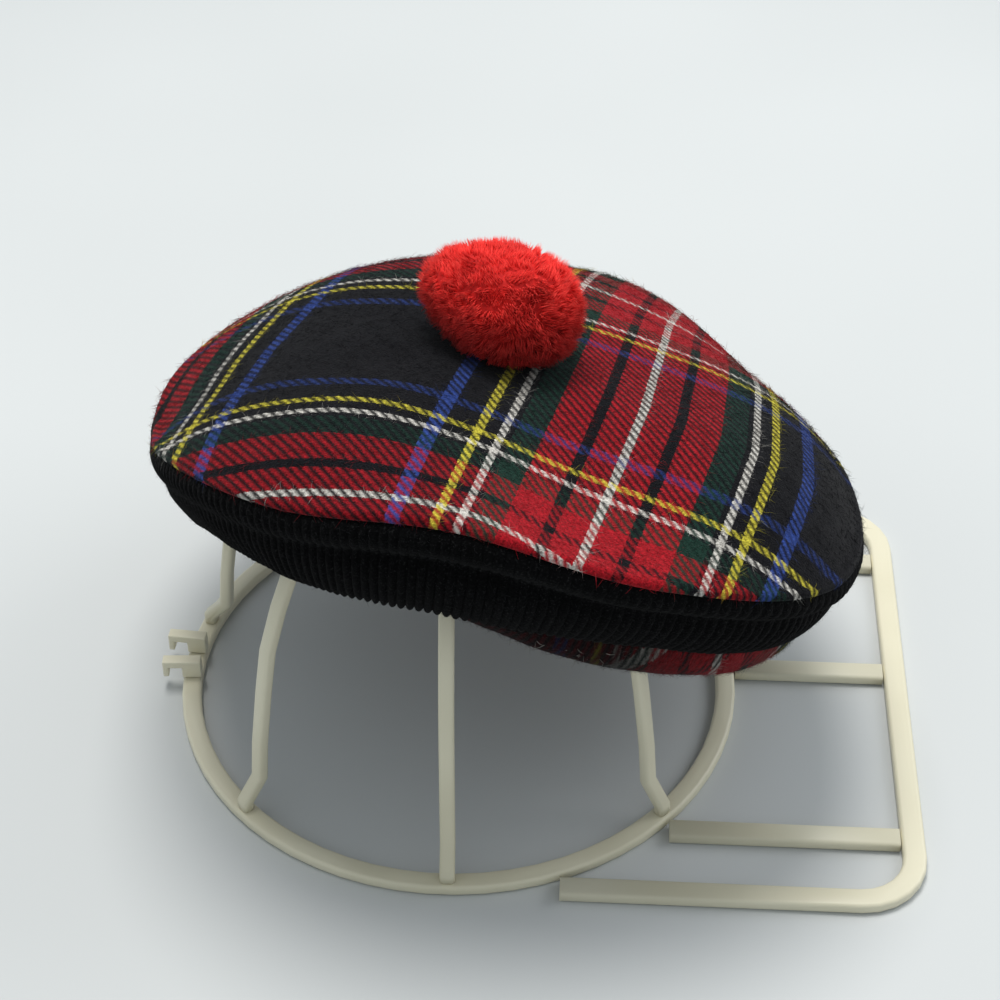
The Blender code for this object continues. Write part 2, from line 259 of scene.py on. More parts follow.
def shadeBelow(tree, colour):
    parts = nodeOf(tree, "ShaderNodeSeparateXYZ")
    tree.links.new(nodeOf(tree, "ShaderNodeTexCoord").outputs["Object"], parts.inputs[0])
    along = mathNode(tree, "SUBTRACT", parts.outputs[0], ringMiddle.x)
    along = mathNode(tree, "MULTIPLY", along, 1 / belowShade["span"])
    left = (belowShade["left"],) * 3
    start, end = (belowShade[key] / belowShade["span"] for key in ("from", "to"))
    shade = rampNode(tree, along, [(start, left), (end, (1, 1, 1))])
    return mixColour(tree, "MULTIPLY", 1, colour, shade)


# a twill of two sets of striped threads, laid out on the piece's own flat-cloth map in metres
def tartanMaterial(name, dim=1.0, onStrands=False, below=False):
    m, tree, shader = startMaterial(name)
    uv = nodeOf(tree, "ShaderNodeUVMap", uv_map="cloth").outputs[0]
    shader.inputs["Roughness"].default_value = 0.95
    shader.inputs["Specular IOR Level"].default_value = 0.06
    shader.inputs["Sheen Weight"].default_value = 0.06
    shader.inputs["Sheen Roughness"].default_value = 0.5
    if onStrands:
        colours, _ = setColours(tree, uv, dim)
        mixed = mixColour(tree, "MIX", tartan["uShare"], colours[1], colours[0])
        tree.links.new(shadeBelow(tree, mixed) if below else mixed, shader.inputs["Base Color"])
        return m
    nap = noiseNode(tree, uv, scale=1100, detail=2, roughness=0.8)
    shift = nodeOf(tree, "ShaderNodeVectorMath", operation="MULTIPLY_ADD")
    tree.links.new(nap.outputs["Color"], shift.inputs[0])
    shift.inputs[1].default_value = (tartan["drift"], tartan["drift"], 0)
    tree.links.new(uv, shift.inputs[2])
    colours, counts = setColours(tree, shift.outputs[0], dim)
    diagonal = mathNode(tree, "SUBTRACT", counts[0], counts[1])
    diagonal = mathNode(tree, "MULTIPLY", diagonal, 1 / tartan["twill"])
    over = mathNode(tree, "SINE", mathNode(tree, "MULTIPLY", diagonal, 2 * math.pi))
    soft = mathNode(tree, "MULTIPLY", over, tartan["uSwing"])
    soft = mathNode(tree, "ADD", soft, tartan["uShare"])
    cover = nodeOf(tree, "ShaderNodeClamp")
    tree.links.new(soft, cover.inputs[0])
    woven = mixColour(tree, "MIX", cover.outputs[0], colours[1], colours[0])
    # brushed nap: pale and dark fibres over the cloth
    light = rampNode(tree, nap.outputs["Fac"], [(0.34, (0.5, 0.5, 0.5)), (0.66, (1.5, 1.5, 1.5))])
    woven = mixColour(tree, "MULTIPLY", 0.9, woven, light)
    tree.links.new(shadeBelow(tree, woven) if below else woven, shader.inputs["Base Color"])
    weave = nodeOf(tree, "ShaderNodeTexWave", wave_type="BANDS", bands_direction="DIAGONAL")
    diagonals = 1000 / tartan["thread"] / tartan["twill"]
    weave.inputs["Scale"].default_value = tartan["ridges"] * diagonals / tartan["waveBands"]
    weave.inputs["Distortion"].default_value = 0
    turned = nodeOf(tree, "ShaderNodeMapping")
    turned.inputs["Scale"].default_value = (1, -1, 1)
    tree.links.new(uv, turned.inputs[0])
    tree.links.new(turned.outputs[0], weave.inputs["Vector"])
    fluff = noiseNode(tree, uv, scale=1700, detail=1, roughness=0.7)
    raised = mathNode(tree, "MULTIPLY", weave.outputs["Fac"], tartan["raised"])
    height = mathNode(tree, "ADD", fluff.outputs["Fac"], raised)
    tree.links.new(bumpNode(tree, height, strength=0.7, distance=0.7 * mm), shader.inputs["Normal"])
    return m


knitColours = {
    "fibres": [
        (0.35, (0.0012, 0.0012, 0.0014)),
        (0.62, (0.0028, 0.0028, 0.003)),
        (0.8, (0.018, 0.018, 0.018)),
    ],
    "patches": [(0.3, (0.6, 0.6, 0.6)), (0.7, (1.3, 1.3, 1.3))],
}


def knitMaterial():
    m, tree, shader = startMaterial("blackKnit")
    place = nodeOf(tree, "ShaderNodeTexCoord")
    fluff = noiseNode(tree, place.outputs["Object"], scale=1400, detail=1, roughness=0.75)
    broad = noiseNode(tree, place.outputs["Object"], scale=60, detail=2, roughness=0.5)
    fibres = rampNode(tree, fluff.outputs["Fac"], knitColours["fibres"])
    patches = rampNode(tree, broad.outputs["Fac"], knitColours["patches"])
    colour = mixColour(tree, "MULTIPLY", 0.5, fibres, patches)
    tree.links.new(colour, shader.inputs["Base Color"])
    shader.inputs["Roughness"].default_value = 0.95
    shader.inputs["Specular IOR Level"].default_value = 0.04
    shader.inputs["Sheen Weight"].default_value = 0.02
    fluffy = bumpNode(tree, fluff.outputs["Fac"], strength=0.8, distance=0.6 * mm)
    tree.links.new(fluffy, shader.inputs["Normal"])
    return m


# painted shade on the pompom's yarn, darker towards its underside, and broad patches of tone
yarnShade = {
    "from": 132 * mm,  # heights between which the yarn's colour clears
    "to": 156 * mm,
    "span": 0.2,  # height of the whole ramp, in metres
    "below": (0.42, 0.32, 0.32),
    "patches": [(0.3, (0.7, 0.6, 0.6)), (0.7, (1.15, 1.15, 1.15))],
}


# cut yarn, with painted shade darkening it towards the underside of the pompom
def yarnMaterial(name, low, high):
    m, tree, shader = startMaterial(name)
    place = nodeOf(tree, "ShaderNodeTexCoord")
    tufts = noiseNode(tree, place.outputs["Object"], scale=420, detail=1, roughness=0.6)
    broad = noiseNode(tree, place.outputs["Object"], scale=60, detail=0, roughness=0.5)
    colour = rampNode(tree, tufts.outputs["Fac"], [(0.3, low), (0.7, high)])
    patches = rampNode(tree, broad.outputs["Fac"], yarnShade["patches"])
    colour = mixColour(tree, "MULTIPLY", 0.4, colour, patches)
    parts = nodeOf(tree, "ShaderNodeSeparateXYZ")
    tree.links.new(place.outputs["Object"], parts.inputs[0])
    start, end = (yarnShade[key] / yarnShade["span"] for key in ("from", "to"))
    height = mathNode(tree, "MULTIPLY", parts.outputs[2], 1 / yarnShade["span"])
    # painted shade: darker towards the bottom of the pompom
    paintedShade = rampNode(tree, height, [(start, yarnShade["below"]), (end, (1, 1, 1))])
    colour = mixColour(tree, "MULTIPLY", 1, colour, paintedShade)
    tree.links.new(colour, shader.inputs["Base Color"])
    shader.inputs["Roughness"].default_value = 0.75
    shader.inputs["Specular IOR Level"].default_value = 0.2
    shader.inputs["Sheen Weight"].default_value = 0.08
    shader.inputs["Sheen Roughness"].default_value = 0.4
    shader.inputs["Sheen Tint"].default_value = (1.0, 0.5, 0.45, 1)
    return m


def plasticMaterial():
    m, tree, shader = startMaterial("ivoryPlastic")
    place = nodeOf(tree, "ShaderNodeTexCoord")
    broad = noiseNode(tree, place.outputs["Object"], scale=18, detail=2, roughness=0.5)
    colour = rampNode(tree, broad.outputs["Fac"], [(0.3, (0.66, 0.62, 0.46)), (0.7, (0.74, 0.70, 0.54))])
    tree.links.new(colour, shader.inputs["Base Color"])
    shader.inputs["Roughness"].default_value = 0.38
    return m


def plainMaterial(name, colour):
    m, _, shader = startMaterial(name)
    shader.inputs["Base Color"].default_value = (*colour, 1)
    shader.inputs["Roughness"].default_value = 0.9
    shader.inputs["Specular IOR Level"].default_value = 0.1
    return m


wool = tartanMaterial("tartanWool")
# the underside's copy of the tartan is dimmed, as painted shade
woolShadedBelow = tartanMaterial("tartanWoolShadedBelow", dim=0.62, below=True)
woolFuzz = tartanMaterial("tartanFuzz", dim=1.15, onStrands=True)
knit = knitMaterial()
# the underside's hairs are dimmed too, as painted shade
woolShadedBelowFuzz = tartanMaterial("tartanShadedBelowFuzz", dim=0.8, onStrands=True, below=True)
knitHair = plainMaterial("blackHair", (0.030, 0.030, 0.033))
paleThread = plainMaterial("paleThread", (0.42, 0.40, 0.36))
yarn = yarnMaterial("redYarn", (0.70, 0.016, 0.015), (0.98, 0.065, 0.052))
# a darker copy of the yarn for the hidden middle: painted shade in the gaps between the strands
shadedYarnCore = yarnMaterial("redYarnCoreShaded", (0.40, 0.006, 0.006), (0.62, 0.018, 0.014))
plastic = plasticMaterial()
print("materials ready")


# crown
crown = {
    "columns": 192,
    "rows": 64,
    "roll": 0.08,  # share of the rows that turn down over the edge
    "wall": 1.8 * mm,
    "turn": math.radians(13.45),  # how the cloth's threads lie on the hat
    "shift": (-51.8 * mm, -98.2 * mm),  # cloth place under the pompom, from the crossing of two white lines
    # the cloth is drawn a little wider at the far side of the crown
    "farEase": {"by": 0.07, "from": 85 * mm, "over": 60 * mm, "most": 1.4, "about": -45 * mm},
    # and a little tighter where its red stripe turns down at the front
    "nearEase": {"by": 4 * mm, "from": -40 * mm, "over": 35 * mm, "most": 1.3, "half": 35 * mm},
    "dimple": 0.7 * mm,
    "dimpleScale": 26,  # higher makes the dimples smaller
    "dimplePlace": 3.1,  # another value moves them
    "round": 0.6,  # share of the roll that goes round the edge, before it drops to the seam
    "under": 0.6 * mm,  # how far the rest of it turns in below
}


def crownPlace(angle, share):
    flat = 1 - crown["roll"]
    if share <= flat:
        p = crownPoint(angle, share / flat)
        s = share / flat
        scale = crown["dimpleScale"]
        soft = noise.noise(Vector((p.x * scale, p.y * scale, crown["dimplePlace"]))) * crown["dimple"]
        # the dimples fade out towards the pompom and the edge
        p.z += soft * min(1, 2.5 * s * (1.2 - s))
        return p
    turn = (share - flat) / crown["roll"]
    reach, rise = seamAt(angle)
    if turn <= crown["round"]:
        bend = turn / crown["round"] * math.pi / 2
        out = reach - hat["edgeRoll"] * (1 - math.sin(bend))
        return polar(angle, out, rise + hat["seamLip"] + hat["edgeRoll"] * math.cos(bend))
    past = turn - crown["round"]
    drop = hat["seamLip"] * (1 - past / (1 - crown["round"]))
    return polar(angle, reach - crown["under"] * past, rise + drop)


# flattens the piece with little stretch and turns the flat shape onto the threads
def layCloth(obj, turn, shift, farEase, nearEase):
    bpy.context.view_layer.objects.active = obj
    for o in bpy.context.selected_objects:
        o.select_set(False)
    obj.select_set(True)
    bpy.ops.object.mode_set(mode="EDIT")
    bpy.ops.mesh.select_all(action="SELECT")
    bpy.ops.uv.unwrap(method="MINIMUM_STRETCH", margin=0)
    bpy.ops.object.mode_set(mode="OBJECT")
    mesh = obj.data
    layer = mesh.uv_layers.active
    layer.name = "cloth"
    loops = np.zeros(len(mesh.loops), np.int32)
    mesh.loops.foreach_get("vertex_index", loops)
    flat = np.zeros(len(mesh.loops) * 2, np.float32)
    layer.data.foreach_get("uv", flat)
    flat = flat.reshape(-1, 2).astype(float)
    points = np.zeros(len(mesh.vertices) * 3, np.float32)
    mesh.vertices.foreach_get("co", points)
    points = points.reshape(-1, 3)
    onVertex = np.zeros((len(mesh.vertices), 2))
    onVertex[loops] = flat
    ends = np.zeros(len(mesh.edges) * 2, np.int32)
    mesh.edges.foreach_get("vertices", ends)
    ends = ends.reshape(-1, 2)
    long = np.linalg.norm(points[ends[:, 0]] - points[ends[:, 1]], axis=1)
    wide = np.linalg.norm(onVertex[ends[:, 0]] - onVertex[ends[:, 1]], axis=1)
    onVertex *= long.sum() / wide.sum()

    def nearest(place):
        target = np.array(hatPlace @ place)
        return onVertex[((points - target) ** 2).sum(1).argmin()].copy()

    onVertex -= nearest(crownPoint(0, 0))
    out = 0.6  # how far out the two directions are read
    front, far = nearest(crownPoint(0, out)), nearest(crownPoint(math.pi / 2, out))
    x = front / np.linalg.norm(front)
    y = np.array((-x[1], x[0]))
    if y @ far < 0:
        y = -y
    along, across = onVertex @ x, onVertex @ y
    u = shift[0] + math.cos(turn) * along - math.sin(turn) * across
    v = shift[1] - math.sin(turn) * along - math.cos(turn) * across
    ease = np.clip((-v - farEase["from"]) / farEase["over"], 0, farEase["most"])
    u = u + farEase["by"] * (u - farEase["about"]) * ease
    middle = np.cos(np.clip(u / nearEase["half"], -1, 1) * math.pi / 2) ** 2
    ease = np.clip((v - nearEase["from"]) / nearEase["over"], 0, nearEase["most"])
    v = v - nearEase["by"] * middle * ease
    both = np.stack((u, v), 1)
    layer.data.foreach_set("uv", both[loops].astype(np.float32).ravel())
    return both


def makeCrown():
    bm = wrapGrid(crown["columns"], crown["rows"], crownPlace)
    bmesh.ops.reverse_faces(bm, faces=bm.faces)
    obj = newPiece("wool_crown", bm, wool)
    cloth = layCloth(obj, crown["turn"], crown["shift"], crown["farEase"], crown["nearEase"])
    wall = obj.modifiers.new("cloth", "SOLIDIFY")
    wall.thickness = crown["wall"]
    wall.offset = -1
    wall.use_even_offset = False
    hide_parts("crown")
    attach(obj, "root")
    return obj, cloth


woolCrown, crownCloth = makeCrown()
print("crown", len(woolCrown.data.polygons))

# knitted band
band = {
    "leftAt": math.radians(196),  # the hat's left end
    "fullness": 3.2 * mm,  # how much the band stands out there
    "fullRate": 2.2,  # and how soon, down the band
    "extra": 0.07,  # how much deeper it hangs at the near left
    "extraAt": math.radians(225),
    "evenness": 0.75,  # how far the crease fills at the left end
    "crease": (0.15, 0.9),  # between these shares of the depth
    "creaseOut": 0.9,  # and how far out it then lies, as a share of the roll
    "ribs": 220,
    "steps": 6,
    "rise": 0.55 * mm,
    "round": 0.7,  # lower makes the ribs fuller
    "base": 1.2,  # depth of the furrows between them, in rises
    "scallop": 0.5,  # how far the ribs carry the lower edge down
    "scallopFrom": 19,  # first row of the lower edge
    "wander": 0.35 * mm,
    "wanderScale": (9, 2),  # round the hat, and down the band
    # down the band, how far out, how much rib: share of depth, share of the roll, share of the rise
    "rows": (
        (0.0, -0.85, 0.2), (0.012, -0.35, 0.3), (0.035, 0.15, 0.45), (0.07, 0.58, 0.6), (0.11, 0.84, 0.7),
        (0.155, 0.97, 0.75), (0.20, 0.93, 0.75), (0.245, 0.72, 0.7), (0.285, 0.38, 0.6), (0.32, 0.0, 0.5),
        (0.35, -0.26, 0.45), (0.385, -0.22, 0.55), (0.43, 0.10, 0.75), (0.48, 0.42, 0.9), (0.54, 0.66, 1.0),
        (0.61, 0.80, 1.0), (0.69, 0.83, 1.0), (0.78, 0.74, 1.0), (0.86, 0.52, 1.0), (0.93, 0.18, 1.0),
        (0.98, -0.2, 1.0), (1.0, -0.72, 0.9), (0.985, -1.15, 0.6), (0.93, -1.48, 0.3), (0.8, -1.5, 0.1),
        (0.5, -1.5, 0.0), (0.2, -1.5, 0.0), (0.03, -1.4, 0.0),
    ),
}


# 1 at the left end of the hat, easing to 0 a quarter turn to either side
def leftEnd(angle):
    return max(0, math.cos(angle - band["leftAt"])) ** 2


def makeBand():
    rows = band["rows"]
    columns = band["ribs"] * band["steps"]

    def place(angle, share):
        i = min(int(round(share * len(rows))), len(rows)) % len(rows)
        down, out, ribbed = rows[i]
        start, downward, outward = bandFrame(angle)
        phase = angle * band["ribs"]
        along, across = band["wanderScale"]
        wander = noise.noise(Vector((math.cos(angle) * along, math.sin(angle) * along, down * across)))
        rib = ribbed * band["rise"] * (abs(math.cos(phase / 2)) ** band["round"] * 2 - band["base"])
        left = leftEnd(angle)
        swell = 0
        if ribbed:
            full = left * min(1, band["fullRate"] * down)
            swell = band["wander"] * wander + band["fullness"] * full
            if band["crease"][0] < down < band["crease"][1]:
                out += (band["creaseOut"] - out) * left * band["evenness"]
        longer = 1 + band["extra"] * max(0, math.cos(angle - band["extraAt"])) ** 2 * down
        fall = down * longer * hat["bandDepth"]
        if i >= band["scallopFrom"]:
            fall += band["scallop"] * rib
        point = start + downward * fall + outward * (out * hat["bandRoll"] + rib + swell)
        return polar(angle, *point)

    bm = wrapGrid(columns, len(rows), place)
    bmesh.ops.remove_doubles(bm, verts=bm.verts, dist=1e-6)
    bmesh.ops.recalc_face_normals(bm, faces=bm.faces)
    obj = newPiece("knit_band", bm, knit)
    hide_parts("band")
    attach(obj, "root")
    return obj


knitBand = makeBand()
print("band", len(knitBand.data.polygons))

# tartan underside
underside = {
    "columns": 288,
    "rows": 28,
    "wall": 1.6 * mm,
    "seam": 0.1 * mm,  # how far its upper edge is sewn up into the band
    "inset": 0.4,  # how far across towards the hem it hangs lowest
    "pucker": 0.5 * mm,
    "puckerScale": (7, 2.2),  # round the hat, and across the underside
    "hiddenAt": math.radians(215),  # where the band hides it, at the near left
    "hiddenBy": 3.2 * mm,
    "hiddenFade": 1.5,  # higher hides less of it
    "stretch": 1.1,  # cloth to the plan
    "shift": (-92 * mm, -90 * mm),
}


def undersidePoint(angle, share):
    start, down, _ = bandFrame(angle)
    low = start + down * hat["bandDepth"]
    top = low + Vector((-hat["bandRoll"] / 2, underside["seam"]))
    hem = low - Vector((around("hemIn", angle), around("hemDown", angle))) * hat["bandDepth"]
    across = top.x * (1 - underside["inset"]) + hem.x * underside["inset"]
    pull = Vector((across, min(top.y, hem.y) - around("sag", angle) * hat["bandDepth"]))
    point = top * (1 - share) ** 2 + pull * 2 * share * (1 - share) + hem * share**2
    hidden = max(0, math.cos(angle - underside["hiddenAt"])) ** underside["hiddenFade"]
    return point + Vector((-underside["hiddenBy"], underside["hiddenBy"])) * hidden


def makeUnderside():
    def place(angle, share):
        point = undersidePoint(angle, share)
        along, across = underside["puckerScale"]
        fold = noise.noise(Vector((math.cos(angle) * along, math.sin(angle) * along, share * across)))
        point.y += fold * underside["pucker"] * math.sin(math.pi * share)
        return polar(angle, *point)

    bm = wrapGrid(underside["columns"], underside["rows"], place)
    bmesh.ops.recalc_face_normals(bm, faces=bm.faces)
    obj = newPiece("wool_underside", bm, woolShadedBelow)
    mesh = obj.data
    layer = mesh.uv_layers.new(name="cloth")
    # the underside is cut from its own ring of cloth: its map is the plan, a little larger
    back = hatPlace.inverted()
    plan = [back @ v.co for v in mesh.vertices]
    stretch, shift = underside["stretch"], underside["shift"]
    cloth = np.array([(p.x * stretch + shift[0], -p.y * stretch + shift[1]) for p in plan])
    for loop in mesh.loops:
        layer.data[loop.index].uv = cloth[loop.vertex_index]
    wall = obj.modifiers.new("cloth", "SOLIDIFY")
    wall.thickness = underside["wall"]
    wall.offset = -1
    wall.use_even_offset = False
    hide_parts("underside")
    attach(obj, "root")
    return obj, cloth


woolUnderside, undersideCloth = makeUnderside()
print("underside", len(woolUnderside.data.polygons))


# one closed three-sided spike, copied by an array, then each copy laid on its own line
def strands(name, material, spots, bent=True):
    bm = bmesh.new()
    narrowing = 0.75 if bent else 0
    bmesh.ops.create_cone(bm, cap_ends=True, segments=3, radius1=1, radius2=narrowing, depth=1)
    if bent:
        # the end face is drawn out to the tip
        bmesh.ops.poke(bm, faces=[f for f in bm.faces if f.normal.z > 0.9])
    obj = newPiece(name, bm, material)
    spike = [v.co.copy() for v in obj.data.vertices]
    copies = obj.modifiers.new("copies", "ARRAY")
    copies.use_relative_offset = False
    copies.count = len(spots)
    whole = bpy.data.meshes.new_from_object(obj.evaluated_get(bpy.context.evaluated_depsgraph_get()))
    obj.modifiers.remove(copies)
    roots, middles, tips, radii = (np.array([s[k] for s in spots], float) for k in range(4))
    aim = tips - roots
    aim /= np.linalg.norm(aim, axis=1)[:, None]
    slant = (0.31, 0.52, 0.79)  # any direction that no strand runs along
    side = np.cross(aim, slant)
    side /= np.linalg.norm(side, axis=1)[:, None]
    other = np.cross(aim, side)
    points = np.zeros((len(spots), len(spike), 3))
    for i, corner in enumerate(spike):
        if corner.xy.length < 0.1:
            points[:, i] = tips
            continue
        centre = roots if corner.z < 0 else middles
        points[:, i] = centre + (side * corner.x + other * corner.y) * radii[:, None]
    whole.vertices.foreach_set("co", points.astype(np.float32).ravel())
    whole.update()
    obj.data = whole
    return obj, len(spike)


# pompom
pompom = {
    "half": Vector((27.5, 22, 20)) * mm,
    "lock": 2.2 * mm,  # height of the solid's locks, which the yarn covers
    "seat": 0.8,  # how far below its middle the pompom is sewn on, as a share of its half height
    "gap": 0.4 * mm,
    "blunt": 0.13,  # the near right end is fuller than the other
    "longer": 0.06,  # and the far left end a little longer
    "lumps": ((0.05, 2.3, (4, 1, 7)), (0.03, 5, (1, 9, 2))),  # size, fineness and place of its lumps
    "core": 0.86,  # size of the middle that the yarn hides
    "shift": Vector((1, -3.4, -0.8)) * mm,
    "turn": math.radians(-33),
    "lean": (math.radians(-4), math.radians(5)),
    "strands": 14000,
    "lowest": -0.86,  # no strand grows below this share of the half height
    "length": (3.4 * mm, 6.4 * mm),
    "radius": 0.22 * mm,
    "thickness": (0.8, 1.3),
    "rooted": 1.1,  # depth of a strand's root, as a share of its length
    "upright": 0.6,  # how straight its first part stands
    "firstPart": 0.55,
    "lastPart": (0.45, 0.75),
    "hang": 0.5 * mm,  # how far the lowest strands hang below the seat
    "tufts": 420,
    "tuftLean": 0.42,
    "gather": 1.76,  # how much the strands of a tuft lean together
    "stray": 0.12,
    "seed": 7,
}
pomSeat = pompom["seat"] * (pompom["half"].z - pompom["lock"])
pomFoot = (pompom["half"].x - pompom["lock"]) * math.sqrt(1 - pompom["seat"] ** 2)
pomLift = math.sin(math.hypot(*pompom["lean"])) * pomFoot
pomHeight = hat["domeHeight"] + pompom["gap"] + pomLift + pomSeat
pomMiddle = hat["pomPlace"] + pompom["shift"] + Vector((0, 0, pomHeight))
pomTurn = Euler((*pompom["lean"], pompom["turn"])).to_matrix().to_4x4()
pomPlace = hatPlace @ Matrix.Translation(pomMiddle) @ pomTurn


# outer form of the pompom in a direction: an egg with shallow lumps
def pomShape(way):
    lump = 1
    for size, fineness, place in pompom["lumps"]:
        lump += size * noise.noise(way * fineness + Vector(place))
    blunt = 1 + pompom["blunt"] * way.x
    stretch = Vector((1 + pompom["longer"] * max(0, -way.x), blunt, blunt))
    return Vector([way[i] * pompom["half"][i] * lump * stretch[i] for i in range(3)])


def randomWay(rng, spread=1):
    return Vector([rng.gauss(0, spread) for _ in range(3)])


def makePomCore():
    bm = bmesh.new()
    bmesh.ops.create_icosphere(bm, subdivisions=5, radius=1)
    for v in bm.verts:
        p = pomShape(v.co.normalized()) * pompom["core"]
        p.z = max(p.z, -pomSeat)
        v.co = pomPlace @ p
    core = newPiece("pompom_core", bm, shadedYarnCore)
    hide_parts("pompom")
    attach(core, "root")


def makePomYarn():
    rng = random.Random(pompom["seed"])
    tufts = [randomWay(rng).normalized() for _ in range(pompom["tufts"])]
    tuftLean = [randomWay(rng) * pompom["tuftLean"] for _ in tufts]
    tuftArray = np.array(tufts)
    spots = []
    # the strands are spread evenly, each a golden angle on from the one before
    golden = math.pi * (3 - math.sqrt(5))
    count = pompom["strands"]
    for i in range(count):
        z = 1 - 2 * (i + 0.5) / count
        if z < pompom["lowest"]:
            continue
        r = math.sqrt(1 - z * z)
        way = Vector((r * math.cos(i * golden), r * math.sin(i * golden), z))
        nearest = int((tuftArray @ np.array(way)).argmax())
        together = (tufts[nearest] - way) * pompom["gather"]
        reach = rng.uniform(*pompom["length"])
        normal = Vector([way[k] / pompom["half"][k] for k in range(3)]).normalized()
        lean = (normal + tuftLean[nearest] + together + randomWay(rng, pompom["stray"])).normalized()
        root = pomShape(way) - normal * reach * pompom["rooted"]
        first = (normal * pompom["upright"] + lean * (1 - pompom["upright"])).normalized()
        middle = root + first * reach * pompom["firstPart"]
        tip = middle + lean * reach * rng.uniform(*pompom["lastPart"])
        line = []
        for point in (root, middle, tip):
            point.z = max(point.z, -pomSeat - pompom["hang"])
            line.append(pomPlace @ point)
        spots.append((*line, pompom["radius"] * rng.uniform(*pompom["thickness"])))
    obj, _ = strands("pompom_yarn", yarn, spots)
    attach(obj, "root")
    print("pompom strands", len(spots))


makePomCore()
makePomYarn()

# brushed surface of the wool and the knit
coats = {
    "wool_nap": {
        "count": 44000, "length": (1.0 * mm, 2.6 * mm), "radius": 0.06 * mm,
        "lift": 0.35, "bent": False, "seed": 5,
    },
    "wool_fuzz": {
        "count": 15000, "length": (2.0 * mm, 5.0 * mm), "radius": 0.05 * mm,
        "lift": 0.5, "bent": True, "seed": 11,
    },
    "underside_fuzz": {
        "count": 14000, "length": (1.2 * mm, 3.2 * mm), "radius": 0.05 * mm,
        "lift": 0.6, "bent": False, "seed": 3,
    },
    "knit_fuzz": {
        "count": 15000, "length": (0.6 * mm, 2.0 * mm), "radius": 0.04 * mm,
        "lift": 0.8, "bent": False, "seed": 8,
    },
}
# what all the hairs share: depth of the root, least rise, how far a tip may dip, and spread of the thickness
hair = {"rooted": 0.1 * mm, "leastLift": 0.1, "dip": -0.25, "thickness": (0.7, 1.4)}


# short hairs that lie over a piece, in the colours of its cloth where it has a cloth map
def makeCoat(name, base, material, cloth=None):
    coat = coats[name]
    rng = np.random.default_rng(coat["seed"])
    mesh = base.data
    count = coat["count"]
    areas = np.array([p.area for p in mesh.polygons])
    picks = rng.choice(len(areas), count, p=areas / areas.sum())
    points = np.zeros(len(mesh.vertices) * 3, np.float32)
    mesh.vertices.foreach_get("co", points)
    points = points.reshape(-1, 3)
    # three-cornered faces at a pole use their last corner twice
    corners = np.array([(list(p.vertices) + [p.vertices[-1]])[:4] for p in mesh.polygons])[picks]
    normals = np.array([tuple(p.normal) for p in mesh.polygons])[picks]
    weights = rng.random((count, 4))
    weights /= weights.sum(1)[:, None]
    roots = (points[corners] * weights[:, :, None]).sum(1)
    ways = rng.normal(size=(count, 3))
    ways -= normals * (ways * normals).sum(1)[:, None]
    ways /= np.linalg.norm(ways, axis=1)[:, None]
    half = rng.uniform(*coat["length"], (count, 1)) / 2
    middles = roots + half * (ways + normals * rng.uniform(hair["leastLift"], coat["lift"], (count, 1)))
    tips = middles + half * (ways + normals * rng.uniform(hair["dip"], coat["lift"], (count, 1)))
    radii = coat["radius"] * rng.uniform(*hair["thickness"], count)
    spots = list(zip(roots - normals * hair["rooted"], middles, tips, radii))
    obj, one = strands(name, material, spots, coat["bent"])
    if cloth is not None:
        layer = obj.data.uv_layers.get("cloth") or obj.data.uv_layers.new(name="cloth")
        loops = np.zeros(len(obj.data.loops), np.int32)
        obj.data.loops.foreach_get("vertex_index", loops)
        maps = (cloth[corners] * weights[:, :, None]).sum(1)
        layer.data.foreach_set("uv", maps[loops // one].astype(np.float32).ravel())
    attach(obj, "root")


makeCoat("wool_nap", woolCrown, woolFuzz, crownCloth)
makeCoat("wool_fuzz", woolCrown, woolFuzz, crownCloth)
makeCoat("underside_fuzz", woolUnderside, woolShadedBelowFuzz, undersideCloth)
makeCoat("knit_fuzz", knitBand, knitHair)
print("hairs ready")

# pale raw threads at the underside's seam, near right
rawThreads = {
    "angles": (283, 300),  # degrees round the hat
    "shares": (0.1, 0.5),  # across the underside
    "count": 18,
    "out": 0.3,  # how far they point away from the hat, against down
    "clear": 0.3 * mm,
    "lift": 0.25,
    "curl": 0.4,
    "droop": -0.1,
    "length": (2 * mm, 4.5 * mm),
    "radius": 0.08 * mm,
    "seed": 22,
}


def makeRawThreads():
    rng = random.Random(rawThreads["seed"])
    spots = []
    for _ in range(rawThreads["count"]):
        angle = math.radians(rng.uniform(*rawThreads["angles"]))
        point = polar(angle, *undersidePoint(angle, rng.uniform(*rawThreads["shares"])))
        out = polar(angle, rawThreads["out"], -1)
        way = Vector((rng.gauss(0, 1), rng.gauss(0, 1), 0)).normalized()
        length = rng.uniform(*rawThreads["length"])
        root = point + out * rawThreads["clear"]
        middle = root + (way + out * rawThreads["lift"]) * length / 2
        curl = rawThreads["curl"]
        bend = Vector((rng.gauss(0, curl), rng.gauss(0, curl), rawThreads["droop"]))
        tip = middle + (way + bend) * length / 2
        spots.append((hatPlace @ root, hatPlace @ middle, hatPlace @ tip, rawThreads["radius"]))
    obj, _ = strands("raw_threads", paleThread, spots)
    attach(obj, "root")


makeRawThreads()
print("raw threads ready")

# stand
stand = {
    "edge": 1.2 * mm,
    "hookEdge": 0.45 * mm,
    "segments": 3,
    "flat": math.radians(1),  # faces that meet within this angle are one face
    "sharp": math.radians(50),
    # smaller faces with only sharp edges are the strips' ends, which stay sharp where pieces meet
    "endArea": 45 * mm**2,
}


